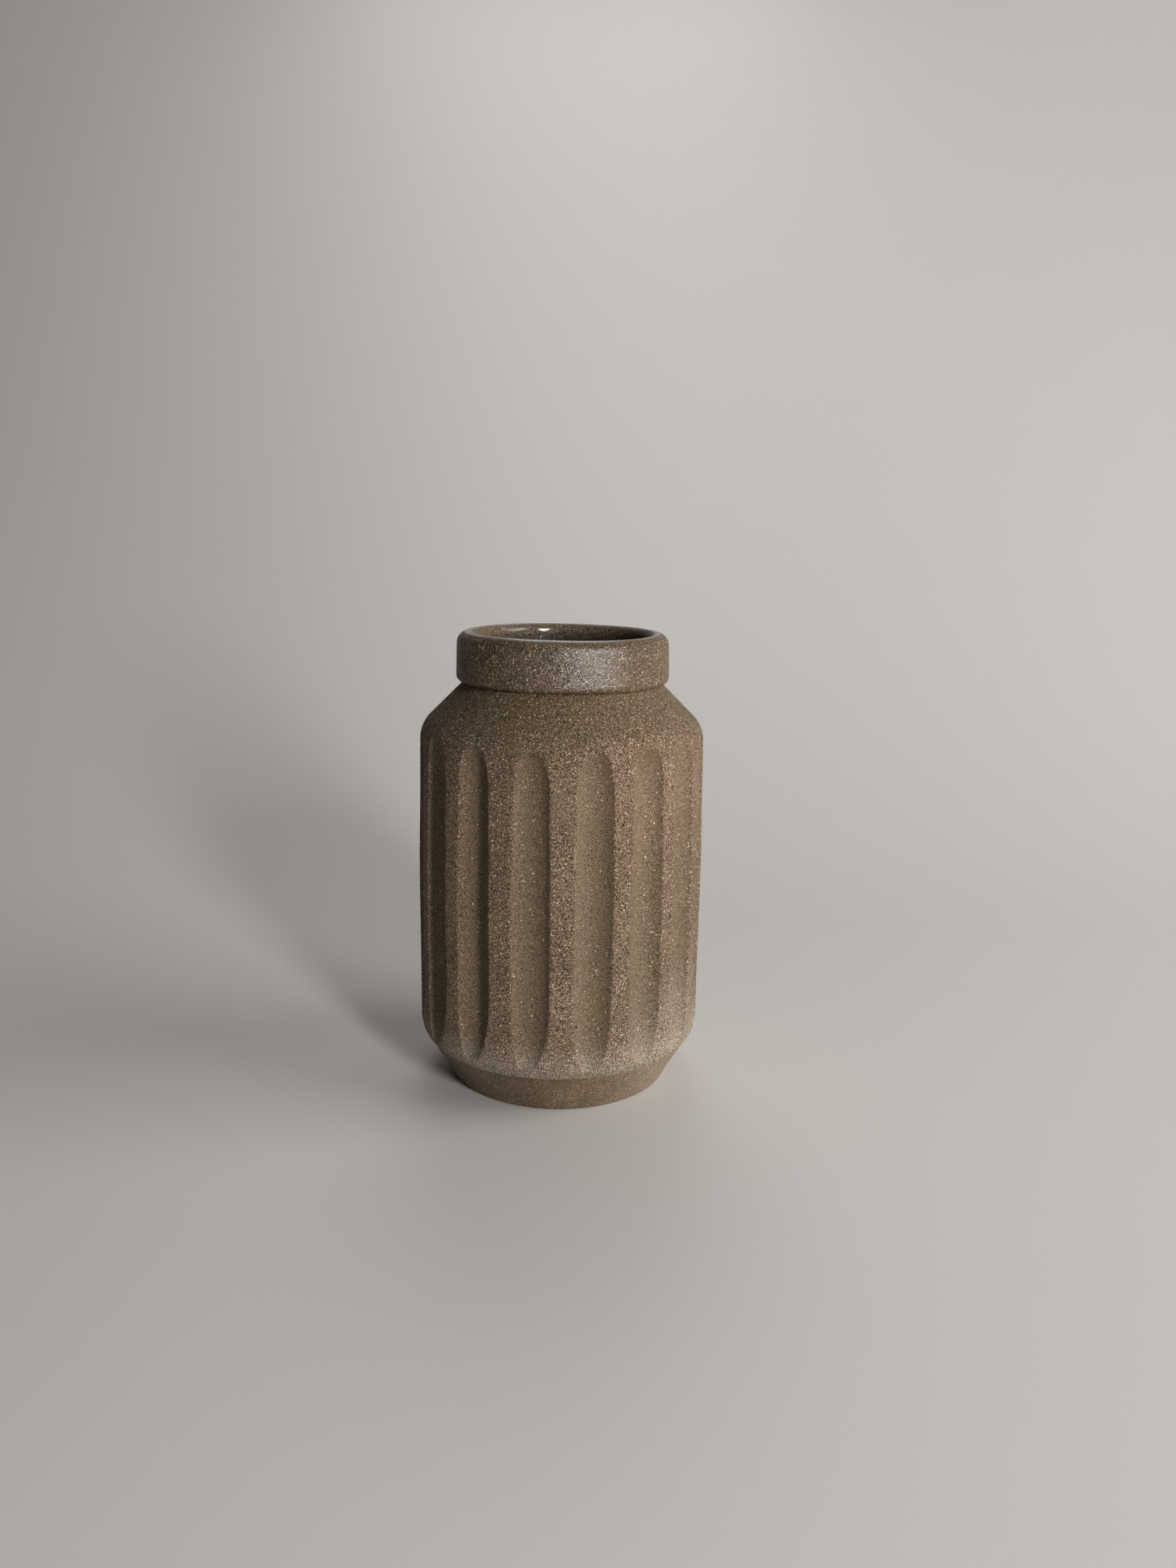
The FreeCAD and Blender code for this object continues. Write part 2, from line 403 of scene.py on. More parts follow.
class Graph:
    """A node tree under construction."""

    def __init__(self, tree: bpy.types.NodeTree) -> None:
        """Work on this node tree."""
        self.tree = tree

    def add(self, kind: str, inputs: dict | None = None, **settings) -> bpy.types.Node:
        """Add a node.

        Args:
            kind: Blender's name for the node's type.
            inputs: Socket name or number, to a value or to the socket that feeds it.
            **settings: Properties of the node.

        Returns:
            The node.
        """
        node = self.tree.nodes.new(kind)
        for name, value in settings.items():
            setattr(node, name, value)
        for name, value in (inputs or {}).items():
            if isinstance(value, Socket):
                self.tree.links.new(value, node.inputs[name])
            else:
                node.inputs[name].default_value = value
        return node

    def math(self, operation: str, a, b=0.0) -> Socket:
        """One arithmetic step on two values or sockets."""
        return self.add("ShaderNodeMath", {0: a, 1: b}, operation=operation).outputs[0]

    def give(self, results) -> bpy.types.NodeTree:
        """Feed each (name, socket) pair to the group's output, and return the group."""
        for name, value in results:
            self.tree.links.new(value, self.tree.nodes["Group Output"].inputs[name])
        return self.tree

    def times(self, a, b) -> Socket:
        """The product of two values or sockets."""
        return self.math("MULTIPLY", a, b)

    def vector(self, operation: str, a, b=(0.0, 0.0, 0.0), result: str = "Vector") -> Socket:
        """One step on two vectors or sockets, giving the socket named by result."""
        return self.add("ShaderNodeVectorMath", {0: a, 1: b}, operation=operation).outputs[result]

    def scaled(self, a, scale) -> Socket:
        """A vector or colour times a value."""
        return self.add("ShaderNodeVectorMath", {0: a, "Scale": scale}, operation="SCALE").outputs["Vector"]

    def ramp(self, value, low, high, to_low=0.0, to_high=1.0) -> Socket:
        """Ease a value from one range to another."""
        inputs = {"Value": value, "From Min": low, "From Max": high, "To Min": to_low, "To Max": to_high}
        return self.add("ShaderNodeMapRange", inputs, interpolation_type="SMOOTHSTEP").outputs["Result"]

    def blend(self, factor, a, b) -> Socket:
        """Mix two colours, each a socket or an (r, g, b) triple."""
        a, b = (c if isinstance(c, Socket) else (*c, 1.0) for c in (a, b))
        return self.add("ShaderNodeMix", {0: factor, 6: a, 7: b}, data_type="RGBA").outputs[2]

    def sanded(self, colour, sand, contrast) -> Socket:
        """Darken and lighten a colour by this share with the sand in the clay."""
        level = self.math("ADD", self.times(self.ramp(sand, 0.32, 0.68, -1.0, 1.0), contrast), 1.0)
        return self.scaled(colour, level)

    def noise(self, vector, size, detail=2.0, roughness=0.5) -> Socket:
        """Soft noise with features of about this size, in metres."""
        inputs = {"Vector": vector, "Scale": 1 / size, "Detail": detail, "Roughness": roughness}
        return self.add("ShaderNodeTexNoise", inputs).outputs["Fac"]


def new_material(name: str) -> tuple[bpy.types.Material, Graph, Socket]:
    """Start a material: the empty material, its graph, and its object coordinates."""
    material = bpy.data.materials.new(name)
    material.use_nodes = True
    material.node_tree.nodes.clear()
    g = Graph(material.node_tree)
    return material, g, g.add("ShaderNodeTexCoord").outputs["Object"]


def new_group(name: str, inputs: dict[str, str], outputs: list[str]) -> bpy.types.NodeTree:
    """Start a shader node group.

    Args:
        name: Name of the group.
        inputs: Socket names, each with its kind: "Vector" or "Float".
        outputs: Names of the float sockets that it gives.

    Returns:
        The empty group with its sockets and its input and output nodes.
    """
    tree = bpy.data.node_groups.new(name, "ShaderNodeTree")
    for socket, kind in inputs.items():
        tree.interface.new_socket(socket, in_out="INPUT", socket_type="NodeSocket" + kind)
    for socket in outputs:
        tree.interface.new_socket(socket, in_out="OUTPUT", socket_type="NodeSocketFloat")
    tree.nodes.new("NodeGroupInput")
    tree.nodes.new("NodeGroupOutput")
    return tree


@dataclass(frozen=True)
class Grog:
    """Crushed fired clay in the body: sandy all through, with pale grains of two sizes, and pits.

    Attributes:
        name: Name of the group.
        sand: Size of the sand.
        grain: Mean distance between the small grains.
        big: Mean distance between the large ones.
        pit: Mean distance between the pits, where a grain fell out.
        smallest: Radius of the smallest grain, as a share of the distance.
        largest: The same for the largest.
        core: Share of a grain's radius that is fully its own colour.
        faintest: How pale the faintest grain is beside the palest.
        ragged: How far a grain's edge strays.
        ragged_size: Size of the noise that it follows.
        big_share: How many large grains there are for each small one asked for.
        grain_height: How far a grain stands up, as a share of the relief.
        sand_height: The same for the sand.
        pit_depth: How deep a pit goes, as a share of the relief.
    """

    name: str = "grog"
    sand: float = 0.36 * MM
    grain: float = 0.50 * MM
    big: float = 0.80 * MM
    pit: float = 0.70 * MM
    smallest: float = 0.18
    largest: float = 0.46
    core: float = 0.45
    faintest: float = 0.25
    ragged: float = 0.36 * MM
    ragged_size: float = 0.40 * MM
    big_share: float = 0.7
    grain_height: float = 0.4
    sand_height: float = 0.8
    pit_depth: float = 0.5

    def scatter(self, g: Graph, vector, spacing: float, share) -> Socket:
        """Grains about this far apart.

        Args:
            g: The group being built.
            vector: Object coordinates.
            spacing: Mean distance between grains, in metres.
            share: How many of the places hold a grain, from 0 to 1.

        Returns:
            A mask, up to 1 on the grains.
        """
        cells = g.add("ShaderNodeTexVoronoi", {"Vector": vector, "Scale": 1 / spacing})
        chance = g.add("ShaderNodeSeparateColor", {"Color": cells.outputs["Color"]})
        size = g.ramp(chance.outputs["Red"], 0.0, 1.0, self.smallest, self.largest)
        grain = g.ramp(cells.outputs["Distance"], g.times(size, self.core), size, 1.0, 0.0)
        present = g.math("LESS_THAN", chance.outputs["Green"], share)
        pale = g.ramp(chance.outputs["Blue"], 0.0, 1.0, self.faintest, 1.0)
        return g.times(g.times(grain, present), pale)

    def crumble(self, g: Graph, vector) -> Socket:
        """Shift the coordinates a little, so that grains are ragged rather than round."""
        stray = g.add("ShaderNodeTexNoise", {"Vector": vector, "Scale": 1 / self.ragged_size, "Detail": 1.0})
        centred = g.vector("SUBTRACT", stray.outputs["Color"], (0.5, 0.5, 0.5))
        return g.vector("ADD", vector, g.scaled(centred, self.ragged))

    def build(self) -> bpy.types.NodeTree:
        """Make the group: Vector, Grains and Pits in; Sand, Grains, Pits and Relief out."""
        names = ("Sand", "Grains", "Pits", "Relief")
        tree = new_group(self.name, {"Vector": "Vector", "Grains": "Float", "Pits": "Float"}, list(names))
        g = Graph(tree)
        given = tree.nodes["Group Input"].outputs
        crumbled = self.crumble(g, given["Vector"])
        sand = g.noise(given["Vector"], self.sand, detail=1.5, roughness=0.6)
        fine = self.scatter(g, crumbled, self.grain, given["Grains"])
        big = self.scatter(g, crumbled, self.big, g.times(given["Grains"], self.big_share))
        grains = g.math("MAXIMUM", fine, big)
        pits = self.scatter(g, crumbled, self.pit, given["Pits"])
        relief = g.math("ADD", g.times(grains, self.grain_height),
                        g.times(sand, self.sand_height))
        relief = g.math("SUBTRACT", relief, g.times(pits, self.pit_depth))
        return g.give(zip(names, (sand, grains, pits, relief)))


@dataclass(frozen=True)
class KilnFlash:
    """How the firing coloured the body: drifts of darker and paler clay, and a warm flush on one side. Also darker
    towards the top, partly the clay's own colour and partly painted shade on the upward-facing shoulder, and paler
    near the foot, which is painted light standing in for light thrown up from the floor.
    """

    name: str = "kiln_flash"
    cloud: float = 24 * MM
    patch: float = 5 * MM
    warm_from: tuple[float, float, float] = (30 * MM, -30 * MM, 106 * MM)
    warm_reach: float = 34 * MM
    pale_from: tuple[float, float, float] = (38 * MM, -22 * MM, 14 * MM)
    pale_reach: float = 36 * MM
    toast_and_shade_from: float = 104 * MM
    toast_and_shade_full: float = 124 * MM
    painted_bounce_from: float = 27 * MM
    painted_bounce_full: float = 17 * MM
    core: float = 0.25
    broad_share: float = 0.65
    patch_share: float = 0.35
    toast_and_shade_stray: float = 30 * MM

    def near(self, g: Graph, vector, place: tuple[float, float, float], reach: float) -> Socket:
        """A soft mask, 1 close to a place and 0 past reach."""
        gap = g.vector("DISTANCE", vector, place, "Value")
        return g.ramp(gap, reach * self.core, reach, 1.0, 0.0)

    def build(self) -> bpy.types.NodeTree:
        """Make the group: Vector in; Cloud, Warm, Pale, Toast and Dust out. Toast darkens towards the top, partly the
        clay's own colour and partly painted shade; Dust pales the foot as painted light.
        """
        names = ("Cloud", "Warm", "Pale", "ToastAndShade", "PaintedBounceLight")
        tree = new_group(self.name, {"Vector": "Vector"}, list(names))
        g = Graph(tree)
        vector = tree.nodes["Group Input"].outputs["Vector"]
        broad = g.noise(vector, self.cloud, detail=2.0)
        patchy = g.noise(vector, self.patch, detail=3.0)
        mixed = g.math("ADD", g.times(broad, self.broad_share), g.times(patchy, self.patch_share))
        cloud = g.ramp(mixed, 0.34, 0.66)
        warm = g.times(self.near(g, vector, self.warm_from, self.warm_reach),
                      g.ramp(patchy, 0.3, 0.62, 0.35, 1.0))
        pale = self.near(g, vector, self.pale_from, self.pale_reach)
        height = g.add("ShaderNodeSeparateXYZ", {"Vector": vector}).outputs["Z"]
        # Darker towards the top: partly the clay's own colour, partly painted shade on the upward-facing shoulder.
        level = g.math("ADD", height, g.times(g.math("SUBTRACT", broad, 0.5), self.toast_and_shade_stray))
        toast_and_shade = g.ramp(level, self.toast_and_shade_from, self.toast_and_shade_full)
        # Paler towards the foot: painted light standing in for light thrown up from the floor.
        painted_bounce_light = g.ramp(height, self.painted_bounce_full, self.painted_bounce_from, 1.0, 0.0)
        return g.give(zip(names, (cloud, warm, pale, toast_and_shade, painted_bounce_light)))


# ---- finishes


class Kiln:
    """Holds the shader groups that the finishes share."""

    def __init__(self) -> None:
        """Build each group once."""
        self.grog = Grog().build()
        self.flash = KilnFlash().build()


@dataclass(frozen=True)
class ClayFinish:
    """Bare grogged stoneware.

    Attributes:
        name: Name of the material.
        body: Colour of the clay between the grains.
        dark_body: The same where the firing was darker.
        grain: Colour of the grains.
        grains: Share of places that hold a grain.
        pits: Share of places that hold a pit.
        grain_strength: How far a grain's colour shows.
        relief: Height of the roughness, in metres.
        roughness: Roughness of the surface.
        cut_body: Clay colour inside the flutes, where the tool smeared it, or None with no flutes.
        cut_grains: Share of places that hold a grain inside the flutes.
        cut_relief: Share of the relief that is left inside the flutes.
        cut_sandiness: Contrast of the sand inside the flutes.
        sandiness: Contrast of the sand elsewhere.
        toast_and_shade_share: How far the darker colour shows near the top: partly the clay's own colour, partly
            painted shade on the upward-facing shoulder.
        painted_bounce_share: How far the pale colour shows near the foot: painted light, standing in for light thrown
            up from the floor.
        pinholes: Middles of the small dark holes.
    """

    name: str
    body: Colour
    dark_body: Colour
    grain: Colour
    grains: float
    pits: float
    grain_strength: float
    relief: float
    roughness: float = 0.78
    cut_body: Colour | None = None
    cut_grains: float = 0.3
    cut_relief: float = 0.4
    cut_sandiness: float = 0.6
    sandiness: float = 0.95
    toast_and_shade_share: float = 0.8
    toast_and_shade_colour: Colour = (0.118, 0.078, 0.038)
    painted_bounce_share: float = 0.0
    warm: Colour = (0.29, 0.17, 0.115)
    pale: Colour = (0.37, 0.31, 0.245)
    pit: Colour = (0.035, 0.026, 0.02)
    pinholes: tuple[tuple[float, float, float], ...] = ()
    pinhole_radius: float = 0.5 * MM
    pinhole_shape: tuple[float, float, float] = (1.0, 0.3, 1.0)
    pinhole_colour: Colour = (0.006, 0.005, 0.004)
    warm_share: float = 0.25
    pale_share: float = 0.35
    pit_share: float = 0.7
    sheen: float = 0.35

    def build(self, kiln: Kiln) -> bpy.types.Material:
        """Make the material.

        Args:
            kiln: Holds the shared shader groups.

        Returns:
            The finished material.
        """
        material, g, place = new_material(self.name)
        carved = g.add("ShaderNodeAttribute", attribute_name="carved").outputs["Fac"]
        share = g.ramp(carved, 0.0, 1.0, self.grains, self.cut_grains if self.cut_body else self.grains)
        grog = g.add("ShaderNodeGroup", {"Vector": place}, node_tree=kiln.grog)
        flash = g.add("ShaderNodeGroup", {"Vector": place}, node_tree=kiln.flash)
        g.tree.links.new(share, grog.inputs["Grains"])
        grog.inputs["Pits"].default_value = self.pits
        body = g.blend(flash.outputs["Cloud"], self.dark_body, self.body)
        if self.cut_body:
            body = g.blend(carved, body, self.cut_body)
        # Darken towards the top: partly the clay's own colour, partly painted shade on the upward-facing shoulder.
        body = g.blend(g.times(flash.outputs["ToastAndShade"], self.toast_and_shade_share), body, self.toast_and_shade_colour)
        body = g.blend(g.times(flash.outputs["Warm"], self.warm_share), body, self.warm)
        body = g.blend(g.times(flash.outputs["Pale"], self.pale_share), body, self.pale)
        # Pale the foot: painted light standing in for light thrown up from the floor.
        body = g.blend(g.times(flash.outputs["PaintedBounceLight"], self.painted_bounce_share), body, self.pale)
        contrast = g.ramp(carved, 0.0, 1.0, self.sandiness, self.cut_sandiness) if self.cut_body else self.sandiness
        body = g.sanded(body, grog.outputs["Sand"], contrast)
        grain = g.times(grog.outputs["Grains"], self.grain_strength)
        colour = g.blend(grain, body, self.grain)
        colour = g.blend(g.times(grog.outputs["Pits"], self.pit_share), colour, self.pit)
        for spot in self.pinholes:
            flat = g.vector("MULTIPLY", g.vector("SUBTRACT", place, spot), self.pinhole_shape)
            gap = g.vector("LENGTH", flat, result="Value")
            hole = g.ramp(gap, self.pinhole_radius * 0.7, self.pinhole_radius, 1.0, 0.0)
            colour = g.blend(hole, colour, self.pinhole_colour)
        height = grog.outputs["Relief"]
        if self.cut_body:
            height = g.times(height, g.ramp(carved, 0.0, 1.0, 1.0, self.cut_relief))
        bump = g.add("ShaderNodeBump", {"Height": height, "Strength": 1.0, "Distance": self.relief})
        shader = g.add("ShaderNodeBsdfPrincipled", {"Base Color": colour, "Roughness": self.roughness,
                                                   "Normal": bump.outputs["Normal"]})
        shader.inputs["Specular IOR Level"].default_value = self.sheen
        g.add("ShaderNodeOutputMaterial", {"Surface": shader.outputs["BSDF"]}).is_active_output = True
        return material


@dataclass(frozen=True)
class GlazeFinish:
    """Thin clear glaze over grogged clay.

    Attributes:
        name: Name of the material.
        body: Colour of the clay under the glaze.
        dark_body: The same where the glaze lies thicker.
        grain: Colour of the grains under the glaze.
        grains: Share of places that hold a grain.
        relief: Height of the grit that stands through the glaze, in metres.
        roughness: Roughness of the glaze.
        smooth_from: Height at which the glaze starts to pool smooth, in metres.
        smooth_full: Height above which it is smooth.
        smooth_body: Colour where it pools.
        smooth_relief: Share of the relief that is left there.
        inside_radius: Radius within which it is pooled at any height, in metres.
        painted_shade_from: Height below which the throat is painted dark, in metres: painted shade standing in for
            the rim's shadow inside the mouth.
        painted_shade_colour: Colour of that painted shade.
        veil: Share of the gloss that is left where the face is seen edge-on.
        crest_from: Height above which the lip's crest is glossy even edge-on, in metres.
        coat: Weight of the gloss where the glaze is thin.
        skin: Share of the relief that the gloss follows.
    """

    name: str
    body: Colour
    dark_body: Colour
    grain: Colour
    grains: float
    grain_strength: float
    relief: float
    roughness: float
    smooth_from: float
    smooth_full: float
    smooth_body: Colour
    smooth_relief: float = 0.12
    inside_radius: float = 29.5 * MM
    painted_shade_from: float = 142.9 * MM
    painted_shade_colour: Colour = (0.05, 0.037, 0.025)
    veil: float = 0.12
    crest_from: float = 146.2 * MM
    coat: float = 0.6
    coat_roughness: float = 0.05
    coat_index: float = 1.8
    skin: float = 0.5
    pits: float = 0.12
    stray: float = 1.2 * MM
    stray_size: float = 4 * MM
    fade: float = 1.2 * MM
    pooled_share: float = 0.75
    pooled_grains: float = 0.3
    veil_from: float = 0.05
    veil_full: float = 0.28
    crest_gloss: float = 0.6
    sheen: float = 0.25
    sandiness: float = 0.9

    def build(self, kiln: Kiln) -> bpy.types.Material:
        """Make the material.

        Args:
            kiln: Holds the shared shader groups.

        Returns:
            The finished material.
        """
        material, g, place = new_material(self.name)
        height = g.add("ShaderNodeSeparateXYZ", {"Vector": place}).outputs["Z"]
        grog = g.add("ShaderNodeGroup", {"Vector": place}, node_tree=kiln.grog)
        flash = g.add("ShaderNodeGroup", {"Vector": place}, node_tree=kiln.flash)
        grog.inputs["Grains"].default_value = self.grains
        grog.inputs["Pits"].default_value = self.pits
        swing = g.math("SUBTRACT", g.noise(place, self.stray_size), 0.5)
        wavy = g.math("ADD", height, g.times(swing, self.stray))
        radius = g.vector("LENGTH", g.vector("MULTIPLY", place, (1.0, 1.0, 0.0)), result="Value")
        inside = g.ramp(radius, self.inside_radius, self.inside_radius + 1 * MM, 1.0, 0.0)
        pooled = g.math("MAXIMUM", g.ramp(wavy, self.smooth_from, self.smooth_full), inside)
        # Painted shade: within inside_radius and below painted_shade_from the throat is darkened, standing in for the
        # rim's shadow inside the mouth.
        shade = g.times(inside, g.ramp(wavy, self.painted_shade_from, self.painted_shade_from + self.fade, 1.0, 0.0))
        body = g.blend(flash.outputs["Cloud"], self.dark_body, self.body)
        body = g.blend(g.times(pooled, self.pooled_share), body, self.smooth_body)
        # Lay the painted shade on the throat.
        body = g.blend(shade, body, self.painted_shade_colour)
        body = g.sanded(body, grog.outputs["Sand"], self.sandiness)
        grain = g.times(grog.outputs["Grains"], g.ramp(pooled, 0.0, 1.0, self.grain_strength,
                                                                  self.grain_strength * self.pooled_grains))
        colour = g.blend(grain, body, self.grain)
        standing = g.times(grog.outputs["Relief"], g.ramp(pooled, 0.0, 1.0, 1.0, self.smooth_relief))
        bump = g.add("ShaderNodeBump", {"Height": standing, "Strength": 1.0, "Distance": self.relief})
        skin = g.add("ShaderNodeBump", {"Height": standing, "Strength": 1.0, "Distance": self.relief * self.skin})
        facing = g.add("ShaderNodeLayerWeight", {"Blend": 0.5}).outputs["Facing"]
        coat = g.ramp(pooled, 0.0, 1.0, self.coat, 1.0)
        crest = g.ramp(height, self.crest_from, self.crest_from + 0.2 * MM, 0.0, self.crest_gloss)
        glancing = g.math("MAXIMUM", g.ramp(facing, self.veil_from, self.veil_full, 1.0, self.veil), crest)
        shader = g.add("ShaderNodeBsdfPrincipled", {"Base Color": colour, "Roughness": self.roughness,
                                                   "Normal": bump.outputs["Normal"],
                                                   "Coat Normal": skin.outputs["Normal"],
                                                   "Coat Weight": g.times(coat, glancing)})
        shader.inputs["Coat Roughness"].default_value = self.coat_roughness
        shader.inputs["Coat IOR"].default_value = self.coat_index
        shader.inputs["Specular IOR Level"].default_value = self.sheen
        g.add("ShaderNodeOutputMaterial", {"Surface": shader.outputs["BSDF"]}).is_active_output = True
        return material


# ---- the pot's sections


@dataclass(frozen=True)
class Section:
    """One thrown section or glaze coat of the pot."""

    node: str
    slot: str
    finish: ClayFinish | GlazeFinish
    sharp: float = math.radians(40)

    def corners(self) -> list[Corner]:
        """Corners of the half section."""
        raise NotImplementedError

    def work(self, bm: bmesh.types.BMesh) -> None:
        """Anything done to the turned form before it is finished.  Nothing, unless a section says so."""

    def build(self, wheel: Wheel) -> bpy.types.Object:
        """Turn the section, work it, and give it the pot's unevenness.

        Args:
            wheel: Turns the half section.

        Returns:
            The section's object, which stands for its CAD node.
        """
        bm = wheel.turn(self.corners())
        for edge in bm.edges:
            edge.smooth = edge.calc_face_angle(0.0) < self.sharp
        for face in bm.faces:
            face.smooth = True
        self.work(bm)
        for vert in bm.verts:
            vert.co = HAND.touched(vert.co)
        mesh = bpy.data.meshes.new(self.node + "_form")
        bm.to_mesh(mesh)
        bm.free()
        piece = placed(self.node + "_form", mesh)
        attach(piece, ROOT)
        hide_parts(self.node)
        log.info("%s: %d faces", piece.name, len(mesh.polygons))
        return piece

    def dress(self, piece: bpy.types.Object, kiln: Kiln) -> None:
        """Give the section its finish.

        Args:
            piece: The section's object.
            kiln: Holds the shared shader groups.
        """
        piece.data.materials.clear()
        piece.data.materials.append(self.finish.build(kiln))


@dataclass(frozen=True)
class Foot(Section):
    """Floor and turned foot, with the upstand that the wall laps over."""

    foot_radius: float = 35.4 * MM
    edge_radius: float = 1.0 * MM
    floor_corner: float = 8.0 * MM
    undercut: float = 0.12 * MM

    def corners(self) -> list[Corner]:
        """From the middle of the underside, up the foot, over the upstand and down to the floor."""
        at = LEVELS
        return [
            Corner(0, 0, rows=3 * MM),
            Corner(self.foot_radius, 0, self.edge_radius, 5, rows=0.8 * MM),
            Corner(at.ridge_radius - self.undercut, at.ridge),
            Corner(at.upstand_radius, at.ridge),
            Corner(at.upstand_radius, at.upstand_top),
            Corner(at.bore, at.upstand_top),
            Corner(at.bore, at.floor, self.floor_corner),
            Corner(0, at.floor),
        ]


@dataclass(frozen=True)
class FlutedWall(Section):
    """The wall: turned in at its foot, very slightly barrelled, rounded over at its top, and fluted."""

    flutes: Flutes = field(default_factory=Flutes)
    low_radius: float = 46.0 * MM
    turn_in_corner: float = 16.5 * MM
    turn_in: float = 7.5 * MM
    belly_radius: float = 46.12 * MM
    top_radius: float = 45.4 * MM
    shoulder_turn: float = 9.0 * MM
    inner_turn: float = 5.0 * MM
    foot_fade: float = 2.5 * MM
    top_fade: float = 2.6 * MM

    def corners(self) -> list[Corner]:
        """From the joint with the foot, up the outside, and down the bore."""
        at = LEVELS
        corner_height = at.seat + at.crease_radius - self.top_radius
        return [
            Corner(at.upstand_radius, at.ridge),
            Corner(at.ridge_radius, at.ridge, rows=0.5 * MM),
            Corner(self.low_radius, self.turn_in_corner, self.turn_in, 10, rows=0.8 * MM),
            Corner(self.belly_radius, 42 * MM, rows=1.3 * MM),
            Corner(self.belly_radius, 76 * MM, rows=1.3 * MM),
            Corner(self.top_radius + 0.3 * MM, 98 * MM, rows=0.6 * MM),
            Corner(self.top_radius, corner_height, self.shoulder_turn, 14, rows=0.6 * MM),
            Corner(at.cone(at.wall_top), at.wall_top),
            Corner(at.shoulder_lap_radius, at.wall_top),
            Corner(at.shoulder_lap_radius, at.shoulder_lap),
            Corner(at.cone(at.shoulder_lap) - at.shoulder_thickness * math.sqrt(2), at.shoulder_lap),
            Corner(at.bore, at.inner_cone_height(at.bore), self.inner_turn, rows=20 * MM),
            Corner(at.bore, at.upstand_top),
            Corner(at.upstand_radius, at.upstand_top),
        ]

    def work(self, bm: bmesh.types.BMesh) -> None:
        """Carve the flutes, and mark what is carved."""
        carved = bm.verts.layers.float.new("carved")
        at = LEVELS
        flutes = self.flutes
        for vert in bm.verts:
            radius = math.hypot(vert.co.x, vert.co.y)
            height = vert.co.z
            even = bearing(vert.co)
            slid, offset, index = flutes.column(even, height, radius)
            free = (smoothstep(at.ridge, at.ridge + self.foot_fade, height)
                    * (1 - smoothstep(at.wall_top - self.top_fade, at.wall_top, height)))
            slid = even + (slid - even) * free
            left = flutes.carved_radius(offset, index, height)
            vert[carved] = smoothstep(-0.05 * MM, 0.25 * MM, radius - left)
            vert.co = around(min(radius, left), slid, height)


@dataclass(frozen=True)
class Shoulder(Section):
    """The sloping shoulder, lapped into the wall, with the neck that carries the collar."""

    throat_edge: float = 4.0 * MM

    def corners(self) -> list[Corner]:
        """From the lap, up the cone to the crease, over the neck and down the inside."""
        at = LEVELS
        return [
            Corner(at.shoulder_lap_radius, at.shoulder_lap),
            Corner(at.shoulder_lap_radius, at.wall_top),
            Corner(at.cone(at.wall_top), at.wall_top, rows=0.7 * MM),
            Corner(at.crease_radius, at.seat),
            Corner(at.neck_radius, at.seat),
            Corner(at.neck_radius, at.neck_top),
            Corner(at.throat, at.neck_top),
            Corner(at.throat, at.inner_cone_height(at.throat), self.throat_edge),
            Corner(at.cone(at.shoulder_lap) - at.shoulder_thickness * math.sqrt(2), at.shoulder_lap),
        ]


@dataclass(frozen=True)
class Collar(Section):
    """Thick collar with a rounded lip, bored to sit over the neck."""

    low_radius: float = 33.65 * MM
    top_radius: float = 33.25 * MM
    underside_rise: float = 0.25 * MM
    corner: float = 1.6 * MM
    lip_outer: float = 3.25 * MM
    lip_inner: float = 2.0 * MM
    coat_start: float = 31.9 * MM
    rows: float = 1.5 * MM

    def face(self, coat: float = 0.0) -> list[Corner]:
        """Corners of the collar's outer face and lip, or of a coat on them."""
        at = LEVELS
        return [
            Corner(self.low_radius + coat, at.seat + self.underside_rise - coat, self.corner + coat, 8,
                   rows=self.rows),
            Corner(self.top_radius + coat, at.clay_lip + coat, self.lip_outer + coat, 14),
            Corner(at.throat - coat, at.clay_lip + coat, self.lip_inner + coat, 12, rows=self.rows),
        ]

    def corners(self) -> list[Corner]:
        """From the seat, up the face, over the lip and down the bore."""
        at = LEVELS
        return [
            Corner(at.neck_radius, at.seat),
            Corner(at.crease_radius, at.seat),
            Corner(self.coat_start, at.seat + self.underside_rise),
            *self.face(),
            Corner(at.throat, at.neck_top),
            Corner(at.neck_radius, at.neck_top),
        ]


@dataclass(frozen=True)
class RimCoat(Collar):
    """Glaze coat over the collar's face and the lip, down to the lining."""

    rows: float = 0.4 * MM
    grit: float = 0.075 * MM
    grit_size: float = 0.85 * MM

    def corners(self) -> list[Corner]:
        """Out along the underside, round the outside of the coat, and back along the clay."""
        at = LEVELS
        clay = [Corner(c.radius, c.height, c.rounding, 4) for c in self.face()]
        return [
            Corner(self.coat_start, at.seat + self.underside_rise),
            Corner(self.coat_start, at.seat + self.underside_rise - at.coat),
            *self.face(at.coat),
            Corner(at.throat - at.coat, at.coats_meet),
            Corner(at.throat, at.coats_meet),
            *reversed(clay),
        ]

    def work(self, bm: bmesh.types.BMesh) -> None:
        """Raise the grit that stands through the glaze on the collar's face."""
        at = LEVELS
        face_radius = self.top_radius + at.coat / 2
        for vert in bm.verts:
            radius = math.hypot(vert.co.x, vert.co.y)
            if radius < face_radius:
                continue
            rough = 1 - smoothstep(at.clay_lip - self.lip_outer - 1 * MM, at.clay_lip - self.lip_outer, vert.co.z)
            lump = noise.noise(vert.co / self.grit_size) * self.grit * rough
            vert.co = around(radius + lump, bearing(vert.co), vert.co.z)


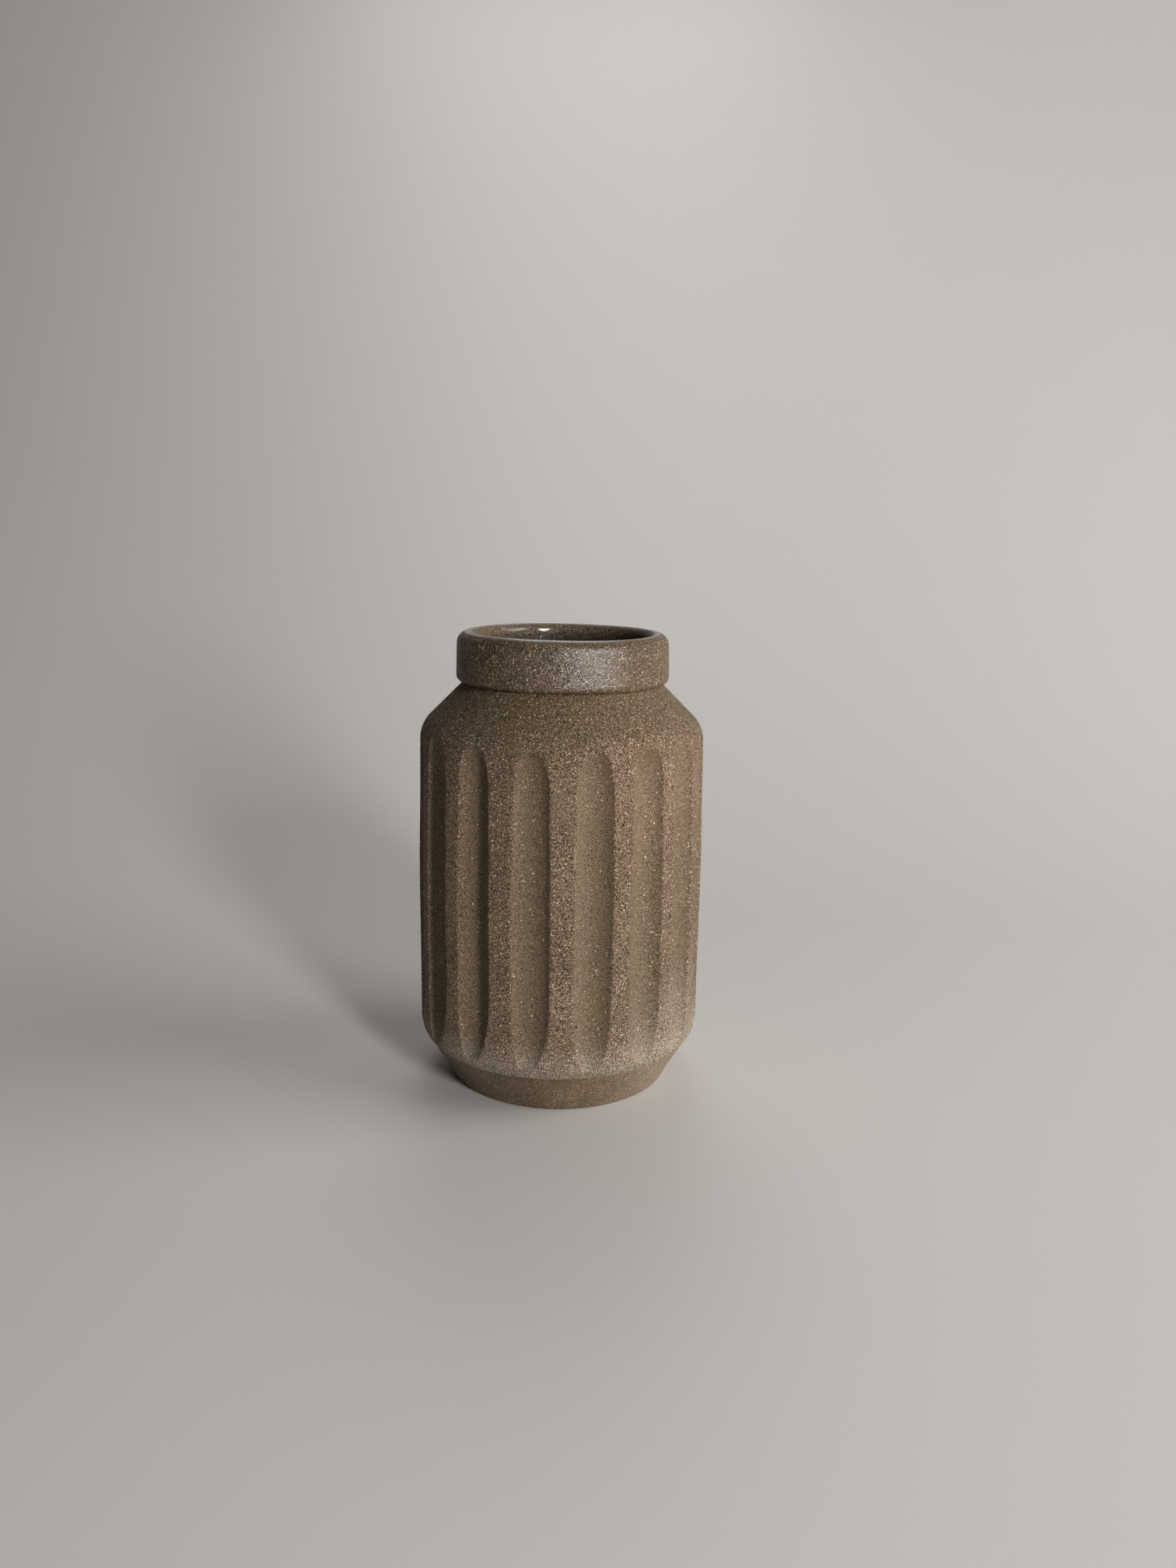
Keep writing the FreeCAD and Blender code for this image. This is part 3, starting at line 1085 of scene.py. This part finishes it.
@dataclass(frozen=True)
class Lining(Section):
    """Glaze poured inside, from the floor up to the rim's coat."""

    floor_corner: float = 8.0 * MM
    inner_turn: float = 5.0 * MM
    throat_edge: float = 4.0 * MM

    def inside(self, coat: float = 0.0, rows: float = 20 * MM) -> list[Corner]:
        """Corners of the inside from the floor's middle to the throat, or of a coat on it."""
        at = LEVELS
        bore, throat = at.bore - coat, at.throat - coat
        return [
            Corner(0, at.floor + coat, rows=rows),
            Corner(bore, at.floor + coat, self.floor_corner - coat, 10, rows=rows),
            Corner(bore, at.inner_cone_height(bore, coat), self.inner_turn - coat, 8, rows=rows),
            Corner(throat, at.inner_cone_height(throat, coat), self.throat_edge + coat, 8, rows=rows / 4),
            Corner(throat, at.coats_meet),
        ]

    def corners(self) -> list[Corner]:
        """Up along the clay, and back down the face of the glaze."""
        return [*self.inside(), *reversed(self.inside(LEVELS.coat, rows=3 * MM))]


# ---- finishes of this vase

PINHOLES = (tuple(around(45.9 * MM, 23.4, 94.0 * MM)), tuple(around(45.2 * MM, 6.6, 31.9 * MM)))

FOOT_CLAY = ClayFinish(
    "turned_foot_clay", body=(0.205, 0.145, 0.086), dark_body=(0.128, 0.088, 0.052),
    grain=(0.55, 0.45, 0.33), grains=0.40, pits=0.45, grain_strength=0.8, relief=0.18 * MM, roughness=0.7,
    sandiness=0.7, toast_and_shade_share=0.0)
WALL_CLAY = ClayFinish(
    "fluted_wall_clay", body=(0.21, 0.14, 0.087), dark_body=(0.148, 0.096, 0.058),
    grain=(0.82, 0.67, 0.51), grains=1.05, pits=0.6, grain_strength=1.0, relief=0.52 * MM,
    cut_body=(0.176, 0.126, 0.078), cut_grains=0.16, cut_relief=0.5, cut_sandiness=0.62, painted_bounce_share=0.5,
    pinholes=PINHOLES)
SHOULDER_CLAY = ClayFinish(
    "shoulder_clay", body=(0.205, 0.138, 0.082), dark_body=(0.145, 0.094, 0.053),
    grain=(0.74, 0.59, 0.42), grains=1.1, pits=0.7, grain_strength=1.0, relief=0.52 * MM)
COLLAR_CLAY = ClayFinish(
    "collar_clay", body=(0.12, 0.08, 0.05), dark_body=(0.09, 0.06, 0.037),
    grain=(0.50, 0.40, 0.29), grains=0.8, pits=0.5, grain_strength=0.8, relief=0.36 * MM)
RIM_GLAZE = GlazeFinish(
    "rim_glaze", body=(0.120, 0.077, 0.041), dark_body=(0.068, 0.042, 0.022), grain=(0.74, 0.58, 0.41),
    grains=1.1, grain_strength=1.0, relief=0.48 * MM, roughness=0.6,
    smooth_from=145.2 * MM, smooth_full=146.0 * MM, smooth_body=(0.125, 0.088, 0.052), coat=0.9)
LINING_GLAZE = GlazeFinish(
    "lining_glaze", body=(0.06, 0.044, 0.029), dark_body=(0.042, 0.031, 0.021), grain=(0.16, 0.12, 0.08),
    grains=0.5, grain_strength=0.6, relief=0.03 * MM, roughness=0.3,
    smooth_from=150 * MM, smooth_full=151 * MM, smooth_body=(0.05, 0.037, 0.025), inside_radius=1 * MM, coat=1.0)


# ---- the studio


@dataclass(frozen=True)
class Viewpoint:
    """Where the camera stands and how it is held."""

    distance: float = 0.403
    height: float = 0.1853
    pitch: float = 0.2154
    yaw: float = 0.0214
    roll: float = 0.0162
    lens: float = 38.83
    sensor: float = 36.0

    def build(self) -> bpy.types.Object:
        """Make the camera and return it."""
        data = bpy.data.cameras.new("camera")
        data.sensor_fit = "HORIZONTAL"
        data.sensor_width = self.sensor
        data.lens = self.lens
        data.clip_start = 0.01
        camera = placed("camera", data)
        level = Matrix.Rotation(math.radians(90) - self.pitch, 4, "X")
        aim = Matrix.Rotation(-self.yaw, 4, "Z") @ level @ Matrix.Rotation(self.roll, 4, "Z")
        camera.matrix_world = Matrix.Translation((0, -self.distance, self.height)) @ aim
        bpy.context.scene.camera = camera
        return camera


@dataclass(frozen=True)
class Softbox:
    """A large soft light.

    Attributes:
        name: Name of the light.
        bearing: Direction from the vase, in degrees from the front towards +X.
        elevation: Height of its middle above the horizon, in degrees.
        distance: From the vase to the light.
        width: Width of the box.
        height: Height of the box.
        power: Watts.
    """

    name: str
    bearing: float
    elevation: float
    distance: float
    width: float
    height: float
    power: float
    colour: Colour = (1.0, 0.985, 0.965)
    aim_height: float = 0.075

    def build(self) -> bpy.types.Object:
        """Make the light, turned to face the vase."""
        data = bpy.data.lights.new(self.name, "AREA")
        data.shape = "RECTANGLE"
        data.size, data.size_y = self.width, self.height
        data.energy = self.power
        data.color = self.colour
        light = placed(self.name, data)
        up = math.radians(self.elevation)
        aim = Vector((0, 0, self.aim_height))
        light.location = aim + around(self.distance * math.cos(up), self.bearing, self.distance * math.sin(up))
        light.rotation_euler = (aim - light.location).to_track_quat("-Z", "Y").to_euler()
        return light


@dataclass(frozen=True)
class Studio:
    """A plain pale floor that sweeps up behind the vase, soft light, and the camera.

    Attributes:
        front: Where the floor ends towards the viewer.
        back: Where it has risen to a wall.
        sweep: Radius of the rise.
        sweep_steps: Faces along the rise.
        sky_strength: Light from all round.
        backdrop: How bright the surroundings look past the floor's edges.
    """

    floor_colour: Colour = (0.68, 0.66, 0.64)
    front: float = -1.4
    back: float = 0.95
    top: float = 1.5
    sweep: float = 0.80
    sweep_steps: int = 30
    floor_roughness: float = 0.55
    half_width: float = 1.5
    sky: Colour = (0.98, 0.97, 0.95)
    sky_strength: float = 0.01
    backdrop: float = 0.42
    softboxes: tuple[Softbox, ...] = (
        Softbox("window_near", 28, 17, 1.3, 0.18, 0.50, 10.8),
        Softbox("window_side", 80, 20, 1.3, 0.95, 1.0, 12.8),
        Softbox("ceiling", 180, 80, 1.3, 1.0, 1.0, 0.8),
        Softbox("behind", 180, 48, 1.1, 0.45, 0.45, 1.4),
    )
    view: Viewpoint = field(default_factory=Viewpoint)

    def floor(self) -> bpy.types.Object:
        """The floor and its sweep."""
        turns = [math.radians(90 * step / self.sweep_steps) for step in range(self.sweep_steps + 1)]
        curve = [(self.back - self.sweep * (1 - math.sin(turn)), self.sweep * (1 - math.cos(turn))) for turn in turns]
        bm = bmesh.new()
        side = [bm.verts.new((-self.half_width, y, z)) for y, z in [(self.front, 0.0), *curve, (self.back, self.top)]]
        for start, end in zip(side, side[1:]):
            bm.edges.new((start, end))
        wide = bmesh.ops.extrude_edge_only(bm, edges=bm.edges[:])["geom"]
        bmesh.ops.translate(bm, vec=(2 * self.half_width, 0, 0),
                            verts=[v for v in wide if isinstance(v, bmesh.types.BMVert)])
        for face in bm.faces:
            face.smooth = True
        mesh = bpy.data.meshes.new("floor")
        bm.to_mesh(mesh)
        bm.free()
        floor = placed("floor", mesh)
        material = bpy.data.materials.new("floor")
        material.use_nodes = True
        shader = material.node_tree.nodes["Principled BSDF"]
        shader.inputs["Base Color"].default_value = (*self.floor_colour, 1)
        shader.inputs["Roughness"].default_value = self.floor_roughness
        mesh.materials.append(material)
        return floor

    def build(self) -> None:
        """Set up the floor, the lights, the sky and the camera."""
        self.floor()
        for softbox in self.softboxes:
            softbox.build()
        world = bpy.data.worlds.new("studio")
        world.use_nodes = True
        g = Graph(world.node_tree)
        seen = g.add("ShaderNodeLightPath").outputs["Is Camera Ray"]
        background = world.node_tree.nodes["Background"]
        background.inputs["Color"].default_value = (*self.sky, 1)
        g.tree.links.new(g.ramp(seen, 0.0, 1.0, self.sky_strength, self.backdrop), background.inputs["Strength"])
        bpy.context.scene.world = world
        bpy.context.scene.view_settings.view_transform = "Standard"
        self.view.build()


# ---- making the vase


def main() -> None:
    """Build the studio, then every section of the vase in the order a potter makes them."""
    logging.basicConfig(level=logging.INFO, format="%(message)s")
    Studio().build()
    wheel = Wheel()
    kiln = Kiln()
    sections = (
        Foot("base", "foot_clay", FOOT_CLAY),
        FlutedWall("fluted_wall", "wall_clay", WALL_CLAY),
        Shoulder("shoulder", "shoulder_clay", SHOULDER_CLAY),
        Collar("collar", "collar_clay", COLLAR_CLAY),
        RimCoat("rim_glaze", "rim_glaze", RIM_GLAZE),
        Lining("lining_glaze", "lining_glaze", LINING_GLAZE),
    )
    for section in sections:
        piece = section.build(wheel)
        section.dress(piece, kiln)


if __name__ == "__main__":
    main()
